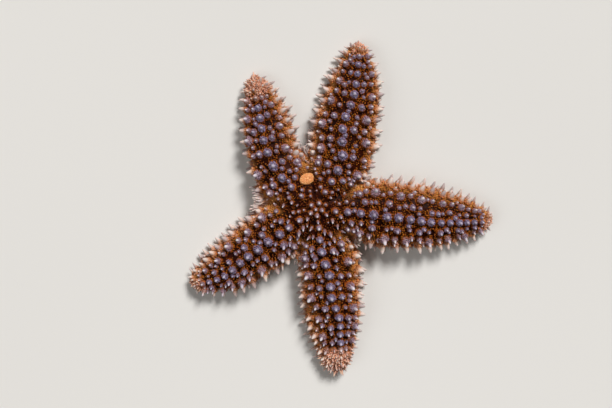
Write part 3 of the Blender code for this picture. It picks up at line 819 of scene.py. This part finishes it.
def small_spines(arms, grid, spines):
    """Fills the bare skin with the smaller spines that stand between the rows, spread at random but no nearer
    than their spacing: sparse and low on the back, close on the flanks, and a dense fan of slender ones round
    each arm's tip. Their roots are on the solids' surface."""
    (points, *_), normals, facts = grid
    number, side, s, turn, _, tip, nose = facts.T
    usable = np.flatnonzero(turn < 1.62)
    rim = smooth((turn - 0.62) / 0.3)
    disc = 1.0 - smooth((s - 4.0 * MM) / (6.0 * MM))
    crease = rim * (1.0 - smooth((s - 8.0 * MM) / (7.0 * MM)))
    crease = crease * (1.0 - 0.9 * smooth((turn - 0.95) / 0.30))
    for (name, way), amount in CREASES.items():
        crease = np.where((number == list(ARMS).index(name)) & (side == way), amount * crease, crease)
    spacing = (2.90 - 0.95 * disc - 1.76 * rim - 0.30 * crease) * (1.0 - tip) * MM + 0.47 * MM * tip
    room = [
        0.75 * spine["radius"] if spine["arm"].fan_share(spine["s"]) > 0.5
        else spine["radius"] * (1.0 if spine["row"] < MARGIN else 0.8) + 0.50 * MM
        for spine in spines
    ]
    taken = [*column(spines, "root"), MOUTH + SIEVE + [0.0, 0.0, 6.9 * MM]]
    found = []
    for i in usable[scatter(points[usable], spacing[usable], taken, [*room, 2.15 * MM])]:
        arm = arms[int(number[i])]
        ahead, out = arm.along(s[i]), arm.left(s[i]) * side[i]
        size = random.uniform(0.85, 1.2)
        radius = (0.42 - 0.06 * disc[i] + 0.01 * rim[i] - 0.09 * crease[i]) * (1.0 - tip[i]) * MM
        radius += 0.33 * MM * tip[i]
        height = (0.72 + 0.55 * rim[i] + 1.40 * crease[i]) * (1.0 - tip[i]) * MM
        height += (0.85 + 0.98 * nose[i]) * MM * tip[i]
        stray = random.normal(0.0, 0.10 + 0.12 * tip[i], 3)
        lean = normals[i] + (0.14 + 0.1 * rim[i]) * (1.0 - tip[i]) * ahead
        lean = unit(lean + 0.50 * tip[i] * rim[i] * out + stray)
        outward = unit((points[i] - MOUTH) * [1.0, 1.0, 0.0]) + [0.0, 0.0, 0.45]
        lean = unit(lean + COMBED * crease[i] * (outward + stray - lean))
        if tip[i] < 0.5 and turn[i] < 1.2:
            droop = max(-lean[1], slump(points[i], s[i]))
            lean = unit(lean - [0.0, 1.4 * DROOP * droop, 0.0]) * (1.0 + 2.4 * LONGER * droop)
        if turn[i] > 0.9:
            lean = lean + [0.0, 0.0, 0.30]
            lean = lean / max(np.linalg.norm(lean), 1.0)
        reach = lean * height * size
        reach[2] = max(reach[2], 0.3 * MM - points[i, 2])
        row = BACK if turn[i] < 0.8 and tip[i] < 0.5 else FRINGE
        radius = min(radius * size, 0.8 * points[i, 2])
        found.append(new_spine(
            points[i], reach, radius, row, arm, side[i], s[i], turn[i], tip[i] >= 0.5, crease[i]))
    return found


def build_gills(name, where, arms, moved, normals, facts, spines, finish):
    """Skin gills in the hollows between the plates: soft fingers in a random order, no nearer than 0.3 mm to
    each other, each along the skin's normal with a little wander. On the back they stand in patches a
    millimetre or two across, given by a product of two bent sines, with bare dark skin between."""
    template = lathe(GILL_PROFILE, 5)
    usable = np.flatnonzero((facts[:, 3] < 1.15) & where)
    spacing = np.full(len(usable), 0.30 * MM)
    chosen = scatter(moved[usable], spacing, column(spines, "root"), column(spines, "radius") * 1.02)
    chosen = usable[chosen]
    x, y = moved[chosen, 0] / MM, moved[chosen, 1] / MM
    patch = np.sin(2.3 * x + 1.7 * np.sin(1.1 * y)) * np.sin(2.1 * y + 1.9 * np.sin(1.3 * x))
    thick = (patch + random.uniform(-0.3, 0.3, len(chosen)) > -0.25) | (facts[chosen, 3] > 0.5)
    chosen, patch = chosen[thick], patch[thick]
    number, side, s, turn, share, _, _ = facts[chosen].T
    count = len(chosen)
    lean = normals[chosen] + random.normal(0.0, 0.35, (count, 3))
    size = random.uniform(0.75, 1.25, count)
    patches = np.array([unwrap(arms[int(n)], *each) for n, *each in zip(number, side, s, turn)])
    copies = moved[chosen], lean, 0.14 * MM * size, 0.48 * MM * size, patches
    spins = random.uniform(0.0, FULL_TURN, count)
    blush = 0.75 * smooth((turn + crease_shift(s) - 0.50) / 0.35) + 0.4 * smooth((share - 0.8) / 0.2)
    tone = np.clip(0.5 + 0.5 * patch + random.normal(0.0, 0.25, count), 0.0, 1.0)
    attributes = {
        "rise": np.clip(template[0][:, 2], 0.0, 1.0),
        "tone": (tone * (0.30 + 0.70 * smooth((s - 1.0 * MM) / (4.5 * MM))))[:, None],
        "blush": np.clip(blush, 0.0, 0.9)[:, None],
    }
    plant(name, template, copies, spins, SMALL_PATCH, attributes, finish)


# ---- underside


def joined(rows):
    """Joins rows of (roots, tips, radii, patches) into roots, reaches, radii, lengths and patches."""
    roots, tips, radii, patches = (np.concatenate(parts) for parts in zip(*rows))
    return roots, tips - roots, radii, np.linalg.norm(tips - roots, axis=1), patches


def build_groove_spines(arms, finish):
    """The slender spines that fence each groove: three rows a side, one spine every 0.62 mm, from the inner
    part of the sole down to the ground and a little outwards."""
    rows = []
    for arm in arms:
        stations = np.arange(3.4 * MM, arm.length - 1.2 * MM, 0.62 * MM)
        for side in (1, -1):
            for turn, lean, length in ((2.93, 0.10, 1.0), (2.62, 0.55, 1.15), (2.25, 0.75, 1.2)):
                wander = random.uniform(-0.1, 0.1, len(stations)) * MM
                s = stations + wander + (0.31 * MM if turn < 2.9 else 0.0)
                root = skin_points(arm, side, s, turn)
                root[:, 2] = SOLE_CLEARANCE * 0.95 + arm.lift(s)
                size = 0.45 + 0.55 * arm.taper(s)
                out = arm.left(s) * (side * lean * 0.6) + arm.along(s) * 0.12
                tip = root + (out + [0.0, 0.0, -1.0]) * size[:, None] * length * 0.85 * MM
                tip[:, 2] = np.maximum(tip[:, 2], 0.05 * MM + arm.lift(s) * 0.6)
                rows.append((root, tip, 0.17 * MM * size, unwrap(arm, side, s, turn)))
    template, copies = lathe(NEEDLE_PROFILE, 6), joined(rows)
    spins = np.zeros(len(copies[0]))
    attributes = {
        "rise": np.clip(0.35 + 0.65 * template[0][:, 2], 0.0, 1.0),
        "blush": 1.0,
        "tone": 0.5 * random.uniform(0.0, 1.0, (len(spins), 1)) ** 2,
        "pink": 0.0,
    }
    plant("groove_spines", template, copies, spins, SMALL_PATCH, attributes, finish)


def build_tube_feet(arms, finish):
    """Tube feet in four rows down each groove, every 0.8 mm: stalks from the groove's wall to the ground,
    splayed outwards, each ending in a sucker. Towards the tip they grow slim and stay off the ground."""
    rows = []
    for arm in arms:
        stations = np.arange(2.6 * MM, arm.length - 1.0 * MM, 0.8 * MM)
        count = len(stations)
        for side in (1, -1):
            for turn, splay, shift in ((3.72, 0.10, 0.0), (3.34, 0.34, 0.4)):
                s = stations + shift * MM + random.uniform(-0.12, 0.12, count) * MM
                s = np.minimum(s, arm.length - 0.7 * MM)
                size = 0.4 + 0.6 * arm.taper(s)
                root = skin_points(arm, side, s, turn)
                root[:, 2] += 0.5 * MM
                out = side * (splay + random.uniform(-0.1, 0.2, count)) * 2.2 * MM * size
                ahead = random.uniform(-0.5, 0.7, count) * MM * size
                tip = root + arm.left(s) * out[:, None] + arm.along(s) * ahead[:, None]
                tip[:, 2] = 0.04 * MM + arm.lift(s) * 0.75 + random.uniform(0.0, 0.35, count) ** 2 * MM
                rows.append((root, tip, 0.30 * MM * size, unwrap(arm, side, s, turn)))
    template, copies = lathe(FOOT_PROFILE, 8), joined(rows)
    spins = random.uniform(0.0, FULL_TURN, len(copies[0]))
    attributes = {"rise": template[0][:, 2], "tone": random.uniform(0.0, 1.0, (len(spins), 1))}
    plant("tube_feet", template, copies, spins, 0.004, attributes, finish, lowest=0.01 * MM)


# ---- sieve plate and eyespots


def sieve_ground(arms):
    """(point, normal) of the solids' disc under the sieve plate."""
    arm = min(arms, key=lambda each: abs(math.remainder(SIEVE_BEARING - each.base, math.tau)))
    side = 1 if math.remainder(SIEVE_BEARING - arm.base, math.tau) > 0 else -1
    s, turn = np.meshgrid(np.linspace(0.0, DISC_RADIUS, 60), np.linspace(0.0, 0.9, 60), indexing="ij")
    points = skin_points(arm, side, s, turn)
    away = np.hypot(*np.moveaxis(points - MOUTH - SIEVE, -1, 0)[:2])
    at = np.unravel_index(away.argmin(), away.shape)
    return points[at], skin_normals(arm, side, s[at], turn[at])


def build_sieve_plate(arms, finish):
    """An oval dome cut by furrows that wind out from its middle: the height is a dome less the furrow depth,
    which is a smooth step of the cosine of eleven times the angle, bent by the distance out, and of twice as
    many beyond halfway, where the furrows fork."""
    surface, normal = sieve_ground(arms)
    wide = unit(SIEVE_WAY - normal * (SIEVE_WAY @ normal))
    long = np.cross(normal, wide)
    floor = surface - normal * SOCKET_DEPTH
    rings, sides = 26, 120
    out = np.linspace(0.0, 1.0, rings + 1)[1:]
    r, a = np.meshgrid(out, np.arange(sides) * math.tau / sides, indexing="ij")
    wind = a + 0.22 * np.sin(7.0 * r + 2.0 * np.sin(3.0 * a)) + 0.1 * np.sin(5.0 * a)
    lines = np.where(r < 0.5, np.cos(11.0 * wind), np.cos(22.0 * wind))
    furrow = smooth((lines + 0.15) / 0.7) * smooth((r - 0.08) / 0.15) * (1.0 - smooth((r - 0.9) / 0.1))
    rise = SIEVE_RISE * np.sqrt(np.clip(1.0 - 0.86 * r**2.4, 0.0, 1.0)) + PARTING - 0.11 * MM * furrow
    flat = long * (SIEVE_LONG * r * np.cos(a))[..., None] + wide * (SIEVE_WIDE * r * np.sin(a))[..., None]
    dome = floor + flat + normal * rise[..., None]
    foot = floor - normal * 0.1 * MM
    skirt = foot + flat[-1] * 0.97
    points = closed(floor + normal * (SIEVE_RISE + PARTING), np.append(dome, [skirt], axis=0), foot)
    quads, triangles = ring_faces(rings + 1, sides)
    uv = closed([0.5, 0.5], np.append(out * 0.42, 0.46)[:, None, None] * circle(sides) + 0.5, [0.5, 0.5])
    uv = uv[np.append(quads.ravel(), triangles.ravel())]
    uv[-3 * sides :] = 0.1 * (uv[-3 * sides :] - 0.5) + 0.93  # the hidden underside, beside the dome
    # The furrows' depth also darkens their colour as painted shade; the hidden underside takes the same dark.
    shade = np.concatenate([[0.0], furrow.ravel(), np.ones(sides + 1)])
    shape = points, quads, triangles, uv
    add_piece("sieve_plate", shape, {"furrow": shade}, finish, "sieve_plate", ["madreporite"])


def build_eyespots(arms, finish):
    """A smooth red pad at each eyespot's place."""
    angles = np.linspace(0.0, math.pi, 13)
    template = lathe(np.stack([np.sin(angles), -np.cos(angles)], axis=-1), 16)
    centres = []
    for arm in arms:
        station = arm.length - 0.9 * MM
        place = arm.centre(station) + MOUTH
        place[2] = arm.lift(station) - PARTING - EYESPOT_RADIUS
        centres.append(place)
    count = len(arms)
    radii = np.full(count, 0.95 * EYESPOT_RADIUS)
    patches = np.stack([0.1 + 0.2 * np.arange(count), np.full(count, 0.5)], axis=-1)
    copies = np.array(centres), np.tile([0.0, 0.0, -1.0], (count, 1)), radii, radii, patches
    names = [arm.name.replace("arm", "eyespot") for arm in arms]
    plant("eyespots", template, copies, np.zeros(count), 0.16, {}, finish, slot="eyespot", replaced=names)


# ---- studio


def build_studio():
    """A pale floor, a soft key light from the right and the far side, and a wide, weak fill. Both lights are
    far away, so that the floor is lit evenly: their width is an angle, in degrees."""
    size = 6.0
    mesh = bpy.data.meshes.new("floor")
    corners = [(-size, -size, 0.0), (size, -size, 0.0), (size, size, 0.0), (-size, size, 0.0)]
    mesh.from_pydata(corners, [], [(0, 1, 2, 3)])
    mesh.materials.append(floor_finish())
    floor = new_object("floor", mesh)
    for name, place, width, strength in (
        ("key", (0.17, 0.36, 0.36), 17.0, 3.9),
        ("fill", (-0.35, -0.10, 0.40), 42.0, 0.65),
    ):
        light = bpy.data.lights.new(name, "SUN")
        light.angle = math.radians(width)
        light.energy = strength
        lamp = new_object(name, light)
        lamp.location = place
        lamp.rotation_euler = (-lamp.location).to_track_quat("-Z", "Y").to_euler()
    world = bpy.data.worlds.new("studio")
    world.use_nodes = True
    background = world.node_tree.nodes["Background"]
    background.inputs["Color"].default_value = (1.0, 0.99, 0.97, 1.0)
    background.inputs["Strength"].default_value = 0.115
    bpy.context.scene.world = world
    bpy.context.scene.view_settings.view_transform = "Standard"
    bpy.context.scene.view_settings.look = "None"


def build_camera():
    """Nearly straight down, a little from the +Y side, so that upright spines point down the frame."""
    data = bpy.data.cameras.new("camera")
    data.lens, data.sensor_width = 75.0, 36.0
    data.clip_start = 0.01
    tilt, distance = math.radians(12.0), 0.267
    ahead = Vector((0.0, -math.sin(tilt), -math.cos(tilt)))
    right = Vector((1.0, 0.0, 0.0))
    aim = Vector(MOUTH + [-2.0 * MM, 0.3 * MM, 4.0 * MM])
    camera = new_object("camera", data)
    placed = Matrix((right, right.cross(ahead), -ahead)).transposed().to_4x4()
    placed.translation = aim - ahead * distance
    camera.matrix_world = placed
    bpy.context.scene.camera = camera


def build():
    bases = [math.radians(form[0][0]) for form in ARMS.values()]
    gaps = [(after - base) % math.tau for base, after in zip(bases, bases[1:] + bases[:1])]
    arms = [Arm(number, name, {1: gaps[number], -1: gaps[number - 1]}) for number, name in enumerate(ARMS)]
    rows = row_spines(arms)
    grid = skin_grid(arms)
    small = small_spines(arms, grid, rows)
    spines = rows + small
    moved = build_skin(arms, grid, spines, skin_finish())
    knobs = [spine for spine in spines if spine["row"] < MARGIN]
    thorns = [spine for spine in spines if spine["row"] >= MARGIN and not spine["fan"]]
    fans = [spine for spine in small if spine["fan"]]
    single = [spine for spine in small if not spine["fan"]]
    limy, pincers, gills = spine_finish(), pincer_finish(), gill_finish()
    build_spines("knobs", knobs, KNOB_PROFILE, 9, 1.0, 0.006, limy)
    build_spines("thorns", thorns, THORN_PROFILE, 8, 1.6, 0.006, limy)
    build_spines("tip_fans", fans, FAN_PROFILE, 6, 1.6, SMALL_PATCH, limy)
    ridge, back, shoulder = ([spine for spine in rows if spine["row"] == row] for row in range(MARGIN))
    for name, group, *form in (
        ("ridge_cushions", ridge, 52, 0.95, 0.58),
        ("back_cushions", back, 40, 0.98, 0.56),
        ("shoulder_cushions", shoulder, 44, 0.96, 0.56),
        ("margin_cushions", [spine for spine in rows if spine["row"] >= MARGIN], 30, 1.04, 0.34),
        ("minor_cushions", [spine for spine in single if spine["turn"] < 0.6], 24, 0.96, 0.46),
        ("flank_cushions", [spine for spine in single if spine["turn"] >= 0.6], 10, 0.96, 0.40),
        ("fan_cushions", fans, 8, 1.20, 0.46),
    ):
        build_pincers(name, group, *form, pincers)
    _, normals, facts = grid
    on_disc = facts[:, 2] < DISC_RADIUS + 1.5 * MM
    for name, where in (("disc_gills", on_disc), ("arm_gills", ~on_disc)):
        build_gills(name, where, arms, moved, normals, facts, spines, gills)
    build_groove_spines(arms, limy)
    build_tube_feet(arms, foot_finish())
    build_sieve_plate(arms, sieve_finish())
    build_eyespots(arms, eyespot_finish())
    build_studio()
    build_camera()


build()
